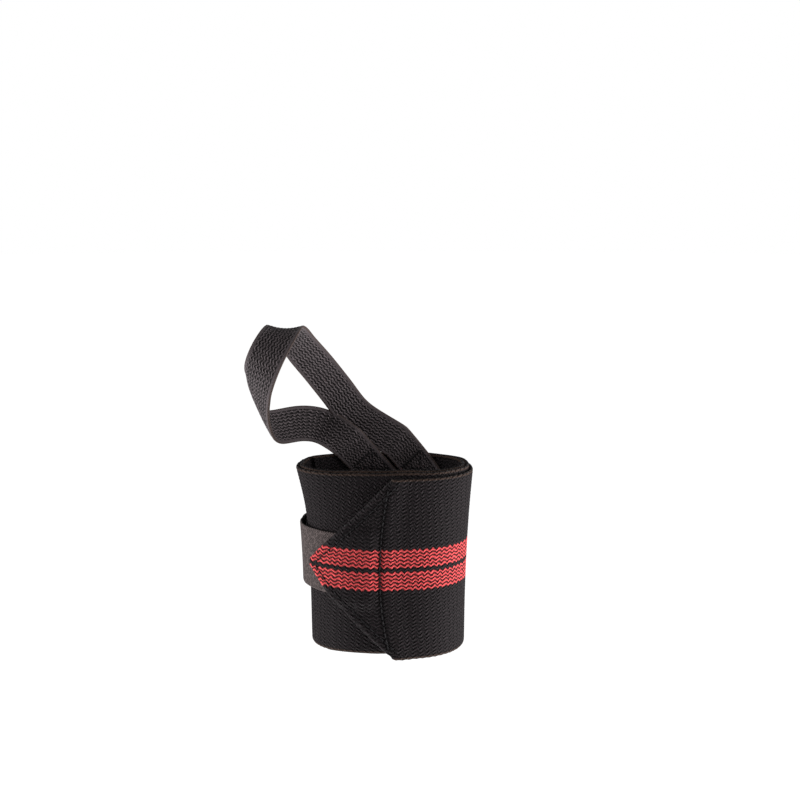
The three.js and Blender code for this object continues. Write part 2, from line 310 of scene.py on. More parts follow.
BAND_LENGTH = float(length_at(WOUND_ANGLE))
STEP_TURN = FULL_TURN - float(wound_at(float(length_at(FULL_TURN)) - STEP_LENGTH))


def rise_at(wound):
    return BAND_WIDTH * column_at(WINDING_PATH, "turn", wound / FULL_TURN, "rise")


def ply_offset(wound):
    """How far a ply's inner face stands off the hollow. Each ply climbs the inner end."""
    turns = np.floor(wound / FULL_TURN)
    left = FULL_TURN - (wound - turns * FULL_TURN)
    return PLY_PITCH * (turns + smooth(1 - left / STEP_TURN))


def tab_lift(wound, z):
    """The tab lifts the band's point off the ply below."""
    fade = 6.0
    aside = np.abs(z - rise_at(wound) - TAB_RAISE) - TAB_WIDTH / 2
    behind = BAND_LENGTH - length_at(wound) - TAB_ROOT
    return (TAB_THICKNESS + PLY_GAP) * smooth(1 - aside / fade) * smooth(1 - behind / fade)


def seam_place(aside):
    """How far before the point the seam across the band's corners lies."""
    across = np.minimum(1.0, np.abs(aside) / HALF_BAND)
    return TIP_LENGTH - SEAM_BOW * (1 - across**2)


# Cloth that is cut flat and then brought into shape


FINE_PITCH = 0.8
EDGE_ROUND = 0.7
EDGE_STEP = 0.25
THINNEST_EDGE = 0.08
CREASE_ANGLE = 55


def deselect_all():
    bpy.ops.object.select_all(action="DESELECT")


def select_only(piece):
    deselect_all()
    piece.select_set(True)
    bpy.context.view_layer.objects.active = piece


def spaced(start, end, pitch):
    count = max(1, round((end - start) / pitch))
    return np.linspace(start, end, count + 1)


def edged(half, pitch):
    """Places across a strip, closer together at its rounded edges."""
    side = np.array([half - EDGE_STEP, half])
    inner = half - EDGE_ROUND
    return np.concatenate([-side[::-1], spaced(-inner, inner, pitch), side])


def flat_cut(name, along, across):
    """A flat sheet with its columns and rows at the given places, in millimetres."""
    deselect_all()
    bpy.ops.mesh.primitive_grid_add(
        x_subdivisions=len(along) - 1, y_subdivisions=len(across) - 1, size=1.0, calc_uvs=True
    )
    sheet = bpy.context.object
    sheet.name = name
    sheet.data.name = name
    grid = read_points(sheet) + 0.5
    column = np.rint(grid[:, 0] * (len(along) - 1)).astype(int)
    row = np.rint(grid[:, 1] * (len(across) - 1)).astype(int)
    flat = np.stack([along[column], across[row], np.zeros(len(grid))], axis=1) * MM
    write_points(sheet, flat)
    lay_out_cut(sheet)
    return sheet


def lay_out_cut(sheet):
    """The UV map holds each place of the flat cut, in metres."""
    flat = read_points(sheet)
    corners = np.empty(len(sheet.data.loops), dtype=np.int32)
    sheet.data.loops.foreach_get("vertex_index", corners)
    layer = sheet.data.uv_layers[0]
    layer.name = "flat_cut"
    layer.data.foreach_set("uv", flat[corners, :2].astype(np.float32).ravel())


def read_points(piece):
    points = np.empty(len(piece.data.vertices) * 3, dtype=np.float32)
    piece.data.vertices.foreach_get("co", points)
    return points.reshape(-1, 3).astype(float)


def write_points(piece, points):
    piece.data.vertices.foreach_set("co", points.astype(np.float32).ravel())
    piece.data.update()


def score(sheet, lines):
    """Cuts new edges into a flat sheet along lines, each a point and a way across it."""
    select_only(sheet)
    bpy.ops.object.mode_set(mode="EDIT")
    for point, across in lines:
        bpy.ops.mesh.select_all(action="SELECT")
        bpy.ops.mesh.bisect(
            plane_co=(point[0] * MM, point[1] * MM, 0.0), plane_no=(across[0], across[1], 0.0)
        )
    bpy.ops.object.mode_set(mode="OBJECT")


def thicken(sheet, thickness):
    select_only(sheet)
    solid = sheet.modifiers.new("Thickness", "SOLIDIFY")
    solid.thickness = thickness * MM
    solid.offset = 0.0
    bpy.ops.object.modifier_apply(modifier=solid.name)


def bring_into_shape(sheet, shape):
    """Moves a thickened flat sheet into its worn shape. shape takes places along, across and
    out of the sheet, and gives points, all in millimetres."""
    flat = read_points(sheet) / MM
    write_points(sheet, shape(flat[:, 0], flat[:, 1], flat[:, 2]) * MM)
    select_only(sheet)
    bpy.ops.object.mode_set(mode="EDIT")
    bpy.ops.mesh.select_all(action="SELECT")
    bpy.ops.mesh.flip_normals()
    bpy.ops.object.mode_set(mode="OBJECT")
    bpy.ops.object.shade_smooth_by_angle(angle=math.radians(CREASE_ANGLE))


def join(name, pieces):
    deselect_all()
    for piece in pieces:
        piece.select_set(True)
    bpy.context.view_layer.objects.active = pieces[0]
    bpy.ops.object.join()
    pieces[0].name = name
    pieces[0].data.name = name
    return pieces[0]


def rounded(out, across, half):
    """Thins a strip towards its edges, so that they are round."""
    into = np.clip((np.abs(across) - (half - EDGE_ROUND)) / EDGE_ROUND, 0.0, 1.0)
    return out * np.sqrt(np.maximum(THINNEST_EDGE, 1 - into**2))


def rib_relief(along, across, knit):
    """How far the ribs stand out of a knit at a place, in millimetres."""
    wave = knit.wave_height / MM * np.sin(2 * np.pi * along / (knit.wave_length / MM))
    return knit.rib_relief / MM * np.cos(2 * np.pi * (across + wave) / (knit.rib_pitch / MM))


# The band


RIBBED_LENGTH = 205.0
HIDDEN_PITCH = 2.5
HIDDEN_ROWS = 1.9
FOLD_RADIUS = 0.725
FOLD_INSET = 0.9
FOLD_CUTS = 6
TUCK = 1.6
TOPSTITCH_MARGIN = 3.0
SEAM_MARGIN = 1.4
SEAM_DEPTH = 0.36
SCALLOP = 0.16


def fold_slant():
    """The way out across the upper folded edge, as (before the point, aside)."""
    run, climb = TIP_LENGTH, HALF_BAND - TIP_BLUNTNESS
    size = math.hypot(run, climb)
    return -climb / size, run / size


def fold_under(before, aside, out):
    """Folds what lies past the point's slanted edges under the band."""
    tuck_fade = 6.0
    slant_before, slant_aside = fold_slant()
    past = before * slant_before + (aside - TIP_BLUNTNESS) * slant_aside + FOLD_INSET
    bend = np.clip(past / FOLD_RADIUS, 0.0, np.pi)
    beyond = np.maximum(0.0, past - np.pi * FOLD_RADIUS)
    reach = (FOLD_RADIUS + out) * np.sin(bend) - beyond
    folded = past > 0
    new_before = np.where(folded, before + slant_before * (reach - past), before)
    new_aside = np.where(folded, aside + slant_aside * (reach - past), aside)
    new_out = np.where(folded, -FOLD_RADIUS + (FOLD_RADIUS + out) * np.cos(bend), out)
    bow = TIP_LENGTH - seam_place(new_aside) + TUCK
    new_before -= new_before / TIP_LENGTH * bow * smooth(beyond / tuck_fade)
    return new_before, new_aside, new_out, folded


def stitched_dip(before, aside):
    """How deep the seams pull the cloth down near the point, in millimetres."""
    edge_width, cross_width, edge_share = 0.6, 0.8, 0.75
    slant_before, slant_aside = fold_slant()
    inside = -(before * slant_before + (aside - TIP_BLUNTNESS) * slant_aside)
    from_edge_seam = (inside - TOPSTITCH_MARGIN) / edge_width
    from_cross_seam = (before - seam_place(aside) + SEAM_MARGIN) / cross_width
    edge_seam = np.exp(-(from_edge_seam**2)) * (before < TIP_LENGTH)
    cross_seam = np.exp(-(from_cross_seam**2))
    return SEAM_DEPTH * np.maximum(edge_share * edge_seam, cross_seam)


def band_place(along, across, out):
    """Points of the wound band. out is measured from the middle of the cloth."""
    before, aside, out, folded = fold_under(BAND_LENGTH - along, np.abs(across), out)
    wound = wound_at(BAND_LENGTH - before)
    z = rise_at(wound) + np.sign(across) * aside
    fade = 9.0
    over_corner = smooth((seam_place(aside) - before) / fade + 1)
    ply = 2 * FOLD_RADIUS * np.where(folded, 1.0, over_corner)
    stand = ply_offset(wound) + tab_lift(wound, z) + BAND_THICKNESS / 2 + ply + out
    return wrist_point(INNER_END_ANGLE - wound, z, stand)


def scallop(along, across, knit):
    """How far the waves of the knit push the band's edges out and in, in millimetres."""
    fade = 1.5
    wave = SCALLOP * np.sin(2 * np.pi * along / (knit.wave_length / MM))
    return wave * smooth(1 - (HALF_BAND - np.abs(across)) / fade)


def note_pull(sheet):
    """Keeps, as an attribute, how much the seams pull the cloth in, from 0 to 1. The band's material
    paints shade into the seam creases with it.
    """
    flat = read_points(sheet) / MM
    dip = stitched_dip(BAND_LENGTH - flat[:, 0], np.abs(flat[:, 1])) / SEAM_DEPTH
    seam_shade = sheet.data.attributes.new("pulled_in", "FLOAT", "POINT")
    seam_shade.data.foreach_set("value", (dip**2).astype(np.float32))


def band_shape(knit, relief):
    """The band's worn shape, with its ribs at a share of their relief. Ribs are flatter where
    the cloth is folded."""
    folded_relief, edge_fade = 0.35, 1.2

    def shape(along, across, out):
        half_thickness = np.sign(out) * BAND_THICKNESS / 2
        before = BAND_LENGTH - along
        turned = fold_under(before, np.abs(across), out)[3]
        ribs = relief * rib_relief(along, across, knit) * np.sign(out)
        ribs *= np.where(turned, folded_relief, 1.0)
        dip = stitched_dip(before, np.abs(across)) * (out > 0)
        clear_of_edge = smooth((HALF_BAND - np.abs(across)) / edge_fade)
        across = across + scallop(along, across, knit)
        thick = rounded(half_thickness, across, HALF_BAND)
        return band_place(along, across, thick + (ribs - dip) * clear_of_edge)

    return shape


def corner_lines():
    """Where the folded corners bend, on the flat cut."""
    slant_before, slant_aside = fold_slant()
    lines = []
    for k in range(FOLD_CUTS + 1):
        past = math.pi * FOLD_RADIUS * k / FOLD_CUTS - FOLD_INSET
        for way in (1, -1):
            point = (
                BAND_LENGTH - slant_before * past,
                way * (TIP_BLUNTNESS + slant_aside * past),
            )
            lines.append((point, (-slant_before, way * slant_aside)))
    return lines


def ride_and_replace(piece, node, material):
    piece.data.materials.clear()
    piece.data.materials.append(material)
    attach(piece, "root")
    if node:
        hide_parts(node)


class WRAP_OT_band(bpy.types.Operator):
    """Winds the knitted band round its hollow and folds its corners under"""

    bl_idname = "wrap.band"
    bl_label = "Knitted band"

    def execute(self, context):
        knit = context.scene.wrap_knit
        ribbed_from = BAND_LENGTH - RIBBED_LENGTH
        along = spaced(0.0, ribbed_from, HIDDEN_PITCH)
        inner = flat_cut("band_inner", along, edged(HALF_BAND, HIDDEN_ROWS))
        third_of_rib = knit.rib_pitch / MM / 3
        along = spaced(ribbed_from, BAND_LENGTH, FINE_PITCH)
        outer = flat_cut("band_outer", along, edged(HALF_BAND, third_of_rib))
        score(outer, corner_lines())
        for sheet, relief in ((inner, 0.0), (outer, 1.0)):
            thicken(sheet, BAND_THICKNESS)
            note_pull(sheet)
            bring_into_shape(sheet, band_shape(knit, relief))
        band = join("knitted_band", [outer, inner])
        ride_and_replace(band, "wrap_band", band_material(knit))
        return {"FINISHED"}


# The hook tab and the loop patch


TAB_PITCH = 1.0
TAB_CORNER_PITCH = 0.4


def ply_below_tab(wound):
    return ply_offset(wound - FULL_TURN) + BAND_THICKNESS


def tab_inside(wound):
    past = length_at(wound) - BAND_LENGTH
    climb = smooth(past / PATCH_START)
    slack = TAB_SLACK * smooth(past / (PATCH_START / 2)) * (1 - smooth(past / PATCH_START - 1))
    return ply_below_tab(wound) + PLY_GAP + climb * (PATCH_THICKNESS + PLY_GAP) + slack


def tab_place(along, across, out):
    """along is measured past the band's point."""
    wound = wound_at(BAND_LENGTH + along)
    z = rise_at(np.minimum(wound, WOUND_ANGLE)) + TAB_RAISE + across
    return wrist_point(INNER_END_ANGLE - wound, z, tab_inside(wound) + TAB_THICKNESS / 2 + out)


def patch_place(along, across, out):
    wound = wound_at(BAND_LENGTH + along)
    z = float(rise_at(WOUND_ANGLE)) + TAB_RAISE + across
    stand = ply_below_tab(wound) + PLY_GAP + PATCH_THICKNESS / 2 + out
    return wrist_point(INNER_END_ANGLE - wound, z, stand)


def round_tab_end(along, across):
    """Draws the tab's corners in to its rounded end."""
    into = np.maximum(0.0, along - (TAB_REACH - TAB_CORNER_RADIUS))
    drop = np.sqrt(np.maximum(0.0, TAB_CORNER_RADIUS**2 - into**2))
    half = TAB_WIDTH / 2 - TAB_CORNER_RADIUS + drop
    return across * half / (TAB_WIDTH / 2)


def tab_shape(along, across, out):
    thick = rounded(np.sign(out) * TAB_THICKNESS / 2, across, TAB_WIDTH / 2)
    return tab_place(along, round_tab_end(along, across), thick)


def patch_shape(along, across, out):
    half_length = PATCH_LENGTH / 2
    from_middle = along - PATCH_START - half_length
    thick = rounded(np.sign(out) * PATCH_THICKNESS / 2, across, PATCH_WIDTH / 2)
    thick = rounded(thick, from_middle, half_length)
    return patch_place(along, across, thick)


def facing_inwards(sheet):
    """The faces of a thickened flat sheet that will lie on the inside."""
    flat = read_points(sheet)
    return [
        face.index
        for face in sheet.data.polygons
        if all(flat[corner, 2] < 0 for corner in face.vertices)
    ]


class WRAP_OT_hook_tab(bpy.types.Operator):
    """Lays the hook tab round the strap's side, from under the band's point"""

    bl_idname = "wrap.hook_tab"
    bl_label = "Hook tab"

    def execute(self, context):
        settings = context.scene.wrap_fastening
        end = TAB_REACH - TAB_CORNER_RADIUS
        corner = spaced(end, TAB_REACH, TAB_CORNER_PITCH)
        along = np.concatenate([spaced(-TAB_ROOT, end, TAB_PITCH), corner[1:]])
        tab = flat_cut("hook_tape_tab", along, edged(TAB_WIDTH / 2, FINE_PITCH))
        thicken(tab, TAB_THICKNESS)
        inner_faces = facing_inwards(tab)
        bring_into_shape(tab, tab_shape)
        ride_and_replace(tab, "hook_tab", hook_tape_material(settings))
        tab.data.materials.append(hook_material(settings))
        for index in inner_faces:
            tab.data.polygons[index].material_index = 1
        return {"FINISHED"}


class WRAP_OT_loop_patch(bpy.types.Operator):
    """Lays the loop patch on the band, under the end of the hook tab"""

    bl_idname = "wrap.loop_patch"
    bl_label = "Loop patch"

    def execute(self, context):
        settings = context.scene.wrap_fastening
        along = spaced(PATCH_START, PATCH_START + PATCH_LENGTH, FINE_PITCH)
        patch = flat_cut("loop_pile_patch", along, edged(PATCH_WIDTH / 2, FINE_PITCH))
        thicken(patch, PATCH_THICKNESS)
        bring_into_shape(patch, patch_shape)
        ride_and_replace(patch, "loop_patch", loop_pile_material(settings))
        return {"FINISHED"}


# The thumb strap


STRAP_RIBS_HALF = 6.3
STRAP_PITCH = 0.5
ROUTE_STEPS = 24
ROUTE_SAMPLES = 600
MIDDLE_WINDOW = 25
FACING_WINDOW = 61
RIM_HEIGHT = HALF_BAND + float(rise_at(0.0))
LEAN_COS = math.cos(math.radians(STRAP_LEAN))
LEAN_SIN = math.sin(math.radians(STRAP_LEAN))
FIRST_TOP = STRAP_END_MARGIN + STRAP_WIDTH / 2 / LEAN_COS
SECOND_TOP = FIRST_TOP + STRAP_WIDTH / LEAN_COS + STRAP_END_SPACING


def sewn_place(top, down, aside, out):
    """Points of a strap end that is sewn inside the band, down from the end's top."""
    along = top + down * LEAN_SIN + aside * LEAN_COS
    z = RIM_HEIGHT + STRAP_RIM_CLEARANCE - down * LEAN_COS + aside * LEAN_SIN
    depth = PLY_GAP + STRAP_THICKNESS / 2 - out
    return wrist_point(INNER_END_ANGLE - sewn_wound(along), z, -depth)


def sewn_wound(along):
    """The winding at a length that may start before the band's inner end."""
    return np.where(along < 0, along / LENGTHS[1], wound_at(along))


def sewn_stop(top, down):
    """The middle of a sewn end, its way out and its cup, as a stop of the route."""
    aside = np.array([0.0, 0.0, 0.0, STRAP_WIDTH / 2, -STRAP_WIDTH / 2])
    out = np.array([0.0, 0.5, -0.5, 0.0, 0.0])
    middle, above, below, high, low = sewn_place(top, np.full(5, down), aside, out)
    facing = (above - below) / np.linalg.norm(above - below)
    return middle, facing, float(((high + low) / 2 - middle) @ facing) / STRAP_WIDTH


def route_stop(stop):
    height = RIM_HEIGHT + stop.up * LOOP_RISE
    middle = np.array([stop.across * WRIST_WIDTH, stop.back * WRIST_DEPTH, height])
    turn, tilt = math.radians(stop.turn), math.radians(stop.tilt)
    level = math.cos(tilt)
    facing = np.array([level * math.cos(turn), level * math.sin(turn), math.sin(tilt)])
    return middle, facing, stop.cup


def curve_point(stops, i, t):
    """A point between stops i and i + 1, on a centripetal curve through the stops."""
    p1, p2 = stops[i], stops[i + 1]
    p0 = stops[i - 1] if i > 0 else 2 * p1 - p2
    p3 = stops[i + 2] if i + 2 < len(stops) else 2 * p2 - p1
    d0, d1, d2 = (math.sqrt(np.linalg.norm(b - a)) for a, b in ((p0, p1), (p1, p2), (p2, p3)))
    m1 = ((p1 - p0) / d0 - (p2 - p0) / (d0 + d1) + (p2 - p1) / d1) * d1
    m2 = ((p2 - p1) / d1 - (p3 - p1) / (d1 + d2) + (p3 - p2) / d2) * d1
    return p1 + m1 * t + (3 * (p2 - p1) - 2 * m1 - m2) * t**2 + (2 * (p1 - p2) + m1 + m2) * t**3


def softened(values, window):
    """A running average along the rows, with both ends kept."""
    pad = window // 2
    before = 2 * values[:1] - values[pad:0:-1]
    after = 2 * values[-1:] - values[-2 : -pad - 2 : -1]
    padded = np.concatenate([before, values, after])
    kernel = np.ones(window) / window
    return np.stack([np.convolve(column, kernel, "valid") for column in padded.T], axis=1)


class StrapPath:
    """The free part of the thumb strap: its middle line, facing, side and cup by length."""

    def __init__(self):
        stops = [sewn_stop(FIRST_TOP, 1.0), sewn_stop(FIRST_TOP, 0.0)]
        stops += [route_stop(stop) for stop in STRAP_ROUTE]
        stops += [sewn_stop(SECOND_TOP, 0.0), sewn_stop(SECOND_TOP, 1.0)]
        middles = [stop[0] for stop in stops]
        rows = []
        for i in range(1, len(stops) - 2):
            for k in range(ROUTE_STEPS):
                t = k / ROUTE_STEPS
                share = float(smooth(t))
                facing = stops[i][1] * (1 - share) + stops[i + 1][1] * share
                cup = stops[i][2] * (1 - share) + stops[i + 1][2] * share
                rows.append([*curve_point(middles, i, t), *facing, cup])
        rows.append([*stops[-2][0], *stops[-2][1], stops[-2][2]])
        rows = np.array(rows)
        along = lengths_along(rows[:, :3])
        even = np.linspace(0.0, along[-1], ROUTE_SAMPLES)
        rows = np.stack(sample(even, along, rows), axis=1)
        middle = softened(rows[:, :3], MIDDLE_WINDOW)
        facing_and_cup = softened(rows[:, 3:], FACING_WINDOW)
        facing, cup = facing_and_cup[:, :3], facing_and_cup[:, 3:]
        self.along = lengths_along(middle)
        self.length = float(self.along[-1])
        tangent = np.gradient(middle, axis=0)
        tangent /= np.linalg.norm(tangent, axis=1, keepdims=True)
        facing = facing - tangent * np.sum(facing * tangent, axis=1, keepdims=True)
        facing /= np.linalg.norm(facing, axis=1, keepdims=True)
        self.columns = np.concatenate([middle, facing, np.cross(tangent, facing), cup], axis=1)

    def place(self, along, aside, out):
        column = sample(along, self.along, self.columns)
        middle, facing, side = (np.stack(column[k : k + 3], axis=1) for k in (0, 3, 6))
        lift = out + column[9] * STRAP_WIDTH * (aside / (STRAP_WIDTH / 2)) ** 2
        return middle + side * aside[:, None] + facing * lift[:, None]


STRAP_PATH = StrapPath()
STRAP_LENGTH = 2 * STRAP_SEWN_LENGTH + STRAP_PATH.length


def strap_place(along, aside, out):
    """Points of the strap, from its first sewn end over the loop to its second."""
    blend = 3
    first = sewn_place(FIRST_TOP, STRAP_SEWN_LENGTH - along, -aside, out)
    free = STRAP_PATH.place(along - STRAP_SEWN_LENGTH, aside, out)
    past = along - STRAP_SEWN_LENGTH - STRAP_PATH.length
    second = sewn_place(SECOND_TOP, past, aside, out)
    sewn_first = smooth((STRAP_SEWN_LENGTH - along) / blend + 0.5)[:, None]
    sewn_second = smooth(past / blend + 0.5)[:, None]
    return sewn_first * first + sewn_second * second + (1 - sewn_first - sewn_second) * free


def strap_shape(knit):
    fade = 0.5

    def shape(along, across, out):
        ribs = rib_relief(along, across, knit) * np.sign(out)
        ribs *= smooth((STRAP_RIBS_HALF - np.abs(across)) / fade)
        thick = rounded(np.sign(out) * STRAP_THICKNESS / 2, across, STRAP_WIDTH / 2)
        return strap_place(along, across, thick + ribs)

    return shape


class WRAP_OT_thumb_strap(bpy.types.Operator):
    """Loops the thumb strap from inside the band's inner end"""

    bl_idname = "wrap.thumb_strap"
    bl_label = "Thumb strap"

    def execute(self, context):
        knit = context.scene.wrap_strap
        along = spaced(0.0, STRAP_LENGTH, STRAP_PITCH)
        across = edged(STRAP_WIDTH / 2, knit.rib_pitch / MM / 4)
        strap = flat_cut("thumb_loop_strap", along, across)
        thicken(strap, STRAP_THICKNESS)
        bring_into_shape(strap, strap_shape(knit))
        ride_and_replace(strap, "thumb_strap", strap_material(knit))
        return {"FINISHED"}


# Stitches


STITCH_BOW = 0.35
STITCH_COVER = 0.86
STITCH_FLATNESS = 0.8
TOPSTITCH_START = 0.6
TOPSTITCH_END = 1.0
CROSS_SEAM_END = 4.4
HEM_MARGIN = 2.6
HEM_END = 1.5
BOX_MARGIN = 2.0
BOX_LENGTH = 12.0
RIM_MARGIN = 1.6


def stitch_template():
    """One stitch along X, a millimetre long and thick, as points and faces. A new sphere's faces
    come in a different order each time, so they are sorted."""
    deselect_all()
    bpy.ops.mesh.primitive_uv_sphere_add(segments=8, ring_count=6, radius=0.5)
    bead = bpy.context.object
    points = read_points(bead)
    faces = sorted(list(face.vertices) for face in bead.data.polygons)
    bpy.data.objects.remove(bead)
    return points[:, [2, 0, 1]], faces


def place_stitch(points, middle, span, out, thread):
    """The template's points, laid along a span and bowed out of the cloth."""
    reach = np.linalg.norm(span)
    way = span / reach
    out = out - way * (out @ way)
    out /= np.linalg.norm(out)
    side = np.cross(out, way)
    bow = STITCH_BOW * thread * (1 - (2 * points[:, 0]) ** 2)
    return (
        middle
        + np.outer(points[:, 0] * reach * STITCH_COVER, way)
        + np.outer(points[:, 1] * thread, side)
        + np.outer(points[:, 2] * thread * STITCH_FLATNESS + bow, out)
    )


def sew(name, runs, stitch, thread):
    """A mesh of stitches along runs of points. Each run is points and the ways out of the cloth,
    in millimetres."""
    points, faces = stitch_template()
    all_points, all_faces = [], []
    for line, ways_out in runs:
        along = lengths_along(line)
        ends = np.linspace(0.0, along[-1], max(1, int(along[-1] / stitch)) + 1)
        for start, end in zip(ends[:-1], ends[1:]):
            halfway = (start + end) / 2
            span = np.subtract(sample(end, along, line), sample(start, along, line))
            middle, out = sample(halfway, along, line), sample(halfway, along, ways_out)
            first = len(all_points) * len(points)
            all_points.append(place_stitch(points, middle, span, np.array(out), thread))
            all_faces += [[first + i for i in face] for face in faces]
    mesh = bpy.data.meshes.new(name)
    mesh.from_pydata((np.concatenate(all_points) * MM).tolist(), [], all_faces)
    stitches = bpy.data.objects.new(name, mesh)
    bpy.context.collection.objects.link(stitches)
    select_only(stitches)
    bpy.ops.object.mode_set(mode="EDIT")
    bpy.ops.mesh.select_all(action="SELECT")
    bpy.ops.mesh.normals_make_consistent(inside=False)
    bpy.ops.object.mode_set(mode="OBJECT")
    bpy.ops.object.shade_smooth()
    return stitches


def run_on(place, line, out, samples=60):
    """A run of stitches on a cloth piece, from the run's corners on the piece's flat cut."""
    lift = 0.5
    steps = lengths_along(line)
    along, across = sample(np.linspace(0.0, steps[-1], samples), steps, line)
    points = place(along, across, np.full(samples, out))
    lifted = place(along, across, np.full(samples, out + np.sign(out) * lift))
    return points, lifted - points


def topstitch_lines():
    """The lines along the two folded edges, on the band's flat cut."""
    samples = 24
    slant_before, slant_aside = fold_slant()
    out = np.array([slant_before, slant_aside])
    start = np.array([0.0, TIP_BLUNTNESS]) - out * TOPSTITCH_MARGIN
    ahead = np.array([slant_aside, -slant_before])
    first = max(0.0, (TOPSTITCH_START - start[1]) / ahead[1])
    last = (HALF_BAND - TOPSTITCH_END - start[1]) / ahead[1]
    before, aside = (start + np.outer(np.linspace(first, last, samples), ahead)).T
    return [np.stack([BAND_LENGTH - before, way * aside], axis=1) for way in (1, -1)]


def cross_seam_line():
    samples = 40
    end = HALF_BAND - CROSS_SEAM_END
    across = np.linspace(-end, end, samples)
    return np.stack([BAND_LENGTH - seam_place(across) + SEAM_MARGIN, across], axis=1)


def border(start, end, half, crossed=False):
    """A line round a rectangle, and with crossed over both its diagonals too."""
    line = [(start, -half), (end, -half), (end, half), (start, half), (start, -half)]
    return line + [(end, half), (end, -half), (start, half)] if crossed else line


def band_runs():
    sunk = 0.12
    face = BAND_THICKNESS / 2 - sunk
    hem = [(HEM_MARGIN, -HALF_BAND + HEM_END), (HEM_MARGIN, HALF_BAND - HEM_END)]
    runs = [run_on(band_place, line, face) for line in topstitch_lines()]
    runs.append(run_on(band_place, cross_seam_line(), face))
    runs.append(run_on(band_place, hem, -BAND_THICKNESS / 2))
    return runs


def strap_runs():
    """A crossed box of stitches at each end of the strap, on its inner face."""
    proud = 0.06
    face = -STRAP_THICKNESS / 2 - proud
    half = STRAP_WIDTH / 2 - BOX_MARGIN
    near, far = BOX_MARGIN, BOX_MARGIN + BOX_LENGTH
    return [
        run_on(strap_place, border(start, end, half, crossed=True), face, samples=200)
        for start, end in ((near, far), (STRAP_LENGTH - near, STRAP_LENGTH - far))
    ]


def patch_runs():
    sunk = 0.2
    start, end = PATCH_START + RIM_MARGIN, PATCH_START + PATCH_LENGTH - RIM_MARGIN
    rim = border(start, end, PATCH_WIDTH / 2 - RIM_MARGIN)
    return [run_on(patch_place, rim, PATCH_THICKNESS / 2 - sunk, samples=240)]


class WRAP_OT_stitching(bpy.types.Operator):
    """Sews the point, its folded corners, the patch and the strap ends"""

    bl_idname = "wrap.stitching"
    bl_label = "Stitching"

    def execute(self, context):
        settings = context.scene.wrap_fastening
        material = thread_material(settings)
        for name, runs, slot in (
            ("band_stitches", band_runs(), "band_elastic"),
            ("strap_stitches", strap_runs(), "strap_elastic"),
            ("patch_stitches", patch_runs(), "loop_pile"),
        ):
            stitches = sew(name, runs, settings.stitch_length / MM, settings.thread_width / MM)
            ride_and_replace(stitches, None, material)
        return {"FINISHED"}


# Materials


STRIPE_RIBS = 5
RIB_DEPTH = 0.0006
FADED_RED = (0.40, 0.075, 0.055)
RED_SHADOW = (0.014, 0.002, 0.002)


class Shade:
    """A node tree that is filled by short calls."""

    def __init__(self, tree):
        self.tree = tree

    def node(self, kind, **values):
        node = self.tree.nodes.new(kind)
        for name, value in values.items():
            setattr(node, name, value)
        return node

    def feed(self, socket, value):
        if isinstance(value, bpy.types.NodeSocket):
            self.tree.links.new(value, socket)
        else:
            socket.default_value = value

    def math(self, operation, *values, clamp=False):
        node = self.node("ShaderNodeMath", operation=operation, use_clamp=clamp)
        for socket, value in zip(node.inputs, values):
            self.feed(socket, value)
        return node.outputs[0]

    def step(self, value, low, high):
        node = self.node("ShaderNodeMapRange", interpolation_type="SMOOTHSTEP")
        for name, item in (("Value", value), ("From Min", low), ("From Max", high)):
            self.feed(node.inputs[name], item)
        return node.outputs["Result"]

    def mix(self, share, first, second):
        """A colour between two. A Mix node's colours are its sockets 6, 7 and, out of it, 2."""
        node = self.node("ShaderNodeMix", data_type="RGBA")
        self.feed(node.inputs["Factor"], share)
        self.feed(node.inputs[6], rgba(first))
        self.feed(node.inputs[7], rgba(second))
        return node.outputs[2]

    def split(self, vector):
        """The vector's first and second parts."""
        node = self.node("ShaderNodeSeparateXYZ")
        self.feed(node.inputs[0], vector)
        return node.outputs[0], node.outputs[1]

    def noise(self, vector, scale, detail=2.0):
        node = self.node("ShaderNodeTexNoise", noise_dimensions="2D")
        self.feed(node.inputs["Vector"], vector)
        self.feed(node.inputs["Scale"], scale)
        self.feed(node.inputs["Detail"], detail)
        return node.outputs["Fac"]

    def group(self, tree, **values):
        node = self.node("ShaderNodeGroup", node_tree=tree)
        for name, value in values.items():
            self.feed(node.inputs[name.replace("_", " ")], value)
        return node.outputs


def darker(colour, share):
    """A colour at a share of its brightness, which may also be above one."""
    return [min(1.0, part * share) for part in colour]


def rgba(value):
    if isinstance(value, bpy.types.NodeSocket):
        return value
    return (*value, 1.0) if len(value) == 3 else value


